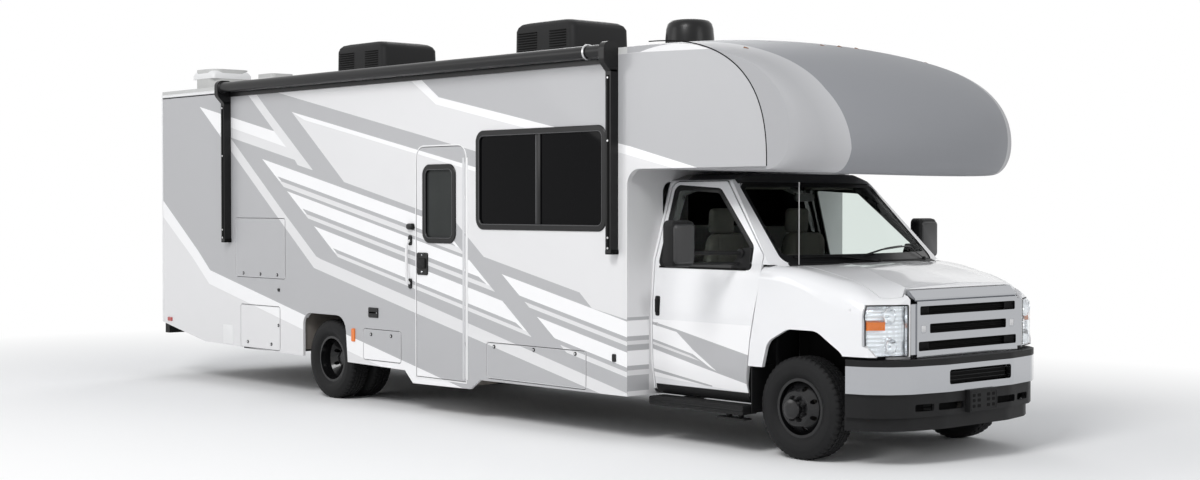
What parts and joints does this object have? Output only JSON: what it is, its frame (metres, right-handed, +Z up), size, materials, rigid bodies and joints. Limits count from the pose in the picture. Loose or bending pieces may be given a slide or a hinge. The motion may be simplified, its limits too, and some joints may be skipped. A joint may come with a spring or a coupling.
{
  "type": "motorhome",
  "caption": "Cab-over motorhome on a van chassis with twin rear wheels, opening doors, hood and lockers, furled awning and roof air conditioners.",
  "frame": {"origin": "on the ground, in the middle of the vehicle's length and width", "axes": "+X forward, +Y to the vehicle's left, +Z up"},
  "size_m": [9.742, 3.1, 3.44],
  "materials": {
    "coach_white": "smooth glossy fibreglass laminate",
    "panel_white": "gloss white paint",
    "roof_white": "matt white roof membrane",
    "cab_white": "gloss white paint",
    "black_trim": "grained black plastic",
    "chrome_bright": "polished",
    "glass_tinted": "dark tinted",
    "glass_clear": "clear",
    "lamp_clear": "clear lens over a bright bowl",
    "lamp_red": "red lens",
    "tyre_rubber": "road tyre",
    "rim_black": "black painted steel wheel",
    "frame_black": "black chassis paint",
    "iron": "as cast",
    "steel_grey": "dull aluminised steel",
    "tank_plastic": "moulded tank",
    "floor_board": "composite board with vinyl",
    "ladder_alloy": "satin",
    "seat_cloth": "grey woven cloth",
    "dash_grey": "grained dash plastic",
    "awning_black": "black powder coat"
  },
  "bodies": {
    "chassis": {"frame": "frame_black", "crossmembers": "frame_black", "engine": "iron", "driveline": "steel_grey", "exhaust": "steel_grey", "tanks": "tank_plastic", "front_axle": "frame_black", "rear_axle": "frame_black", "coach_floor": "floor_board", "wall_left": "coach_white", "wall_right": "coach_white", "skirts": "panel_white", "wall_rear": "coach_white", "wall_front": "coach_white", "locker_boxes": "tank_plastic", "roof": "roof_white", "cab_over": "coach_white", "coach_windows": "glass_tinted", "cab_shell": "cab_white", "windshield": "glass_clear", "fenders": "cab_white", "headlamps": "lamp_clear", "grille": "chrome_bright", "bumper_front": "chrome_bright", "apron": "black_trim", "running_boards": "black_trim", "seats": "seat_cloth", "dash": "dash_grey", "steering_wheel": "black_trim", "awning": "awning_black", "roof_units": "black_trim", "rear_bumper": "frame_black", "ladder": "ladder_alloy", "tail_lamps": "lamp_red"},
    "knuckle_left": {"knuckle_left": "iron"},
    "wheel_front_left": {"tyre_front_left": "tyre_rubber", "rim_front_left": "rim_black"},
    "wheels_rear_left": {"tyres_rear_left": "tyre_rubber", "rims_rear_left": "rim_black"},
    "cab_door_left": {"cab_door_left": "cab_white", "cab_glass_left": "glass_clear", "mirror_left": "black_trim"},
    "knuckle_right": {"knuckle_right": "iron"},
    "wheel_front_right": {"tyre_front_right": "tyre_rubber", "rim_front_right": "rim_black"},
    "wheels_rear_right": {"tyres_rear_right": "tyre_rubber", "rims_rear_right": "rim_black"},
    "cab_door_right": {"cab_door_right": "cab_white", "cab_glass_right": "glass_clear", "mirror_right": "black_trim"},
    "hood": {"hood": "cab_white"},
    "entry_door": {"entry_door": "coach_white", "entry_window": "glass_tinted"},
    "locker_upper_rear": {"locker_upper_rear": "panel_white"},
    "locker_lower_rear": {"locker_lower_rear": "panel_white"},
    "locker_mid": {"locker_mid": "panel_white"},
    "locker_front": {"locker_front": "panel_white"},
    "locker_left_rear": {"locker_left_rear": "panel_white"},
    "locker_left_mid": {"locker_left_mid": "panel_white"}
  },
  "joints": [
    {"name": "steer_left", "type": "hinge", "parent": "chassis", "child": "knuckle_left", "pos_m": [3.989, 0.775, 0.368], "axis": [0, 0, 1], "range_deg": [-35, 35]},
    {"name": "spin_front_left", "type": "hinge", "parent": "knuckle_left", "child": "wheel_front_left", "pos_m": [3.989, 0.88, 0.368], "axis": [0, 1, 0], "continuous": true},
    {"name": "spin_rear_left", "type": "hinge", "parent": "chassis", "child": "wheels_rear_left", "pos_m": [-1.617, 0.987, 0.368], "axis": [0, 1, 0], "continuous": true},
    {"name": "cab_door_left_hinge", "type": "hinge", "parent": "chassis", "child": "cab_door_left", "pos_m": [3.559, 1.01, 1], "axis": [0, 0, -1], "range_deg": [0, 65]},
    {"name": "steer_right", "type": "hinge", "parent": "chassis", "child": "knuckle_right", "pos_m": [3.989, -0.775, 0.368], "axis": [0, 0, 1], "range_deg": [-35, 35]},
    {"name": "spin_front_right", "type": "hinge", "parent": "knuckle_right", "child": "wheel_front_right", "pos_m": [3.989, -0.88, 0.368], "axis": [0, 1, 0], "continuous": true},
    {"name": "spin_rear_right", "type": "hinge", "parent": "chassis", "child": "wheels_rear_right", "pos_m": [-1.617, -0.987, 0.368], "axis": [0, 1, 0], "continuous": true},
    {"name": "cab_door_right_hinge", "type": "hinge", "parent": "chassis", "child": "cab_door_right", "pos_m": [3.559, -1.01, 1], "axis": [0, 0, 1], "range_deg": [0, 65]},
    {"name": "hood_hinge", "type": "hinge", "parent": "chassis", "child": "hood", "pos_m": [3.851, 0, 1.365], "axis": [0, -1, 0], "range_deg": [0, 45]},
    {"name": "entry_door_hinge", "type": "hinge", "parent": "chassis", "child": "entry_door", "pos_m": [0.5, -1.256, 1.3], "axis": [0, 0, 1], "range_deg": [0, 95]},
    {"name": "locker_upper_rear_hinge", "type": "hinge", "parent": "chassis", "child": "locker_upper_rear", "pos_m": [-2.7975, -1.256, 1.096], "axis": [1, 0, 0], "range_deg": [0, 90]},
    {"name": "locker_lower_rear_hinge", "type": "hinge", "parent": "chassis", "child": "locker_lower_rear", "pos_m": [-2.8, -1.256, 0.396], "axis": [1, 0, 0], "range_deg": [0, 90]},
    {"name": "locker_mid_hinge", "type": "hinge", "parent": "chassis", "child": "locker_mid", "pos_m": [-0.7225, -1.256, 0.684], "axis": [-1, 0, 0], "range_deg": [0, 100]},
    {"name": "locker_front_hinge", "type": "hinge", "parent": "chassis", "child": "locker_front", "pos_m": [1.413, -1.256, 0.664], "axis": [-1, 0, 0], "range_deg": [0, 100]},
    {"name": "locker_left_rear_hinge", "type": "hinge", "parent": "chassis", "child": "locker_left_rear", "pos_m": [-3.211, 1.256, 0.7], "axis": [1, 0, 0], "range_deg": [0, 100]},
    {"name": "locker_left_mid_hinge", "type": "hinge", "parent": "chassis", "child": "locker_left_mid", "pos_m": [-0.216, 1.256, 0.684], "axis": [1, 0, 0], "range_deg": [0, 100]}
  ],
  "couplings": [
    {"joint": "steer_right", "follows": "steer_left", "ratio": 1}
  ]
}
